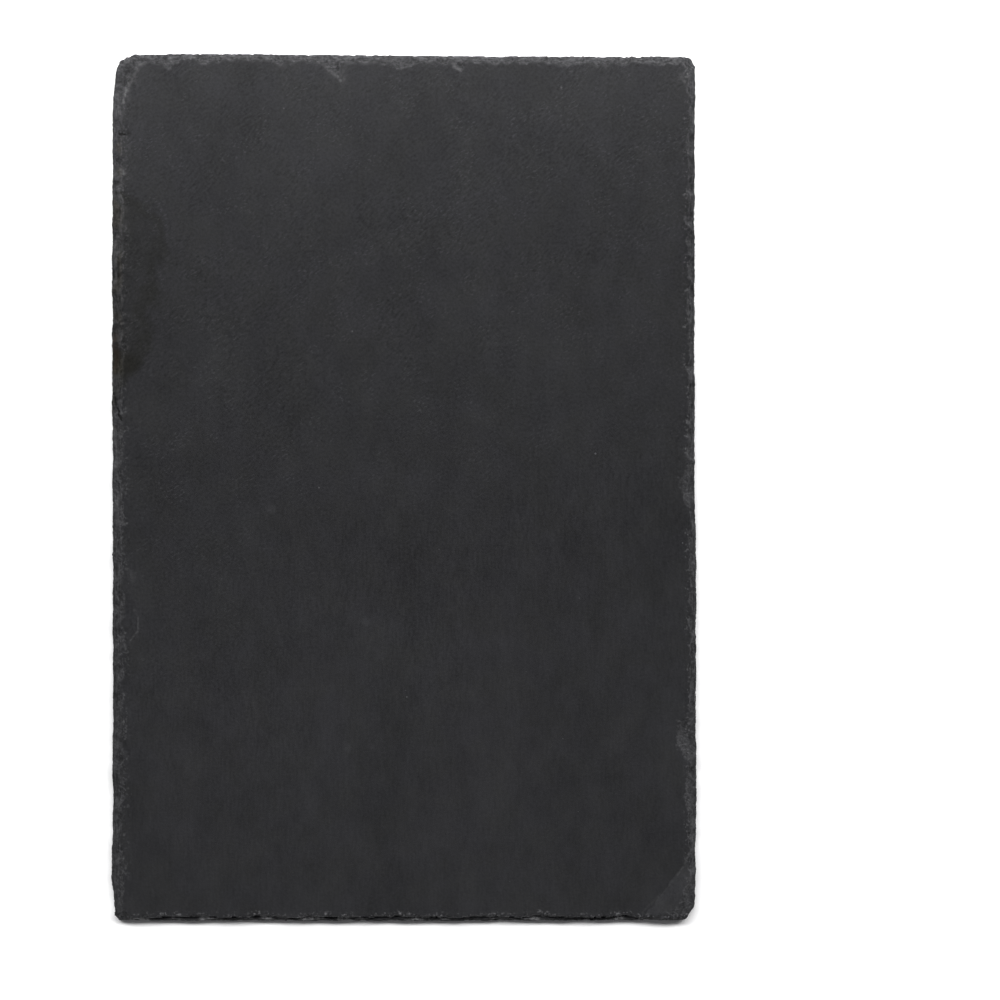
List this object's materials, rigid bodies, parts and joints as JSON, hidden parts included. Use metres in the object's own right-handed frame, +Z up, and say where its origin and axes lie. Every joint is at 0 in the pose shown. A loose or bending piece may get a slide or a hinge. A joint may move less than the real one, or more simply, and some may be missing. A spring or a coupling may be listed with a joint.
{
  "type": "slate slab",
  "caption": "Flat rectangular slab of split slate with hand-chipped bevelled edges and blunt corners, made to lie on a table.",
  "frame": {"origin": "centre of the bounding box on the underside, the plane the slab rests on", "axes": "+X across the slab, +Y along its length towards the end with the broad chipped corner, +Z up out of the better face"},
  "size_m": [0.2024, 0.2996, 0.006],
  "materials": {
    "slate": "matt dark grey split slate with a faint sheen, fine cleavage grain, paler chipped edges and a brown stain at one side"
  },
  "bodies": {
    "root": {"slate_slab": "slate"}
  },
  "joints": []
}
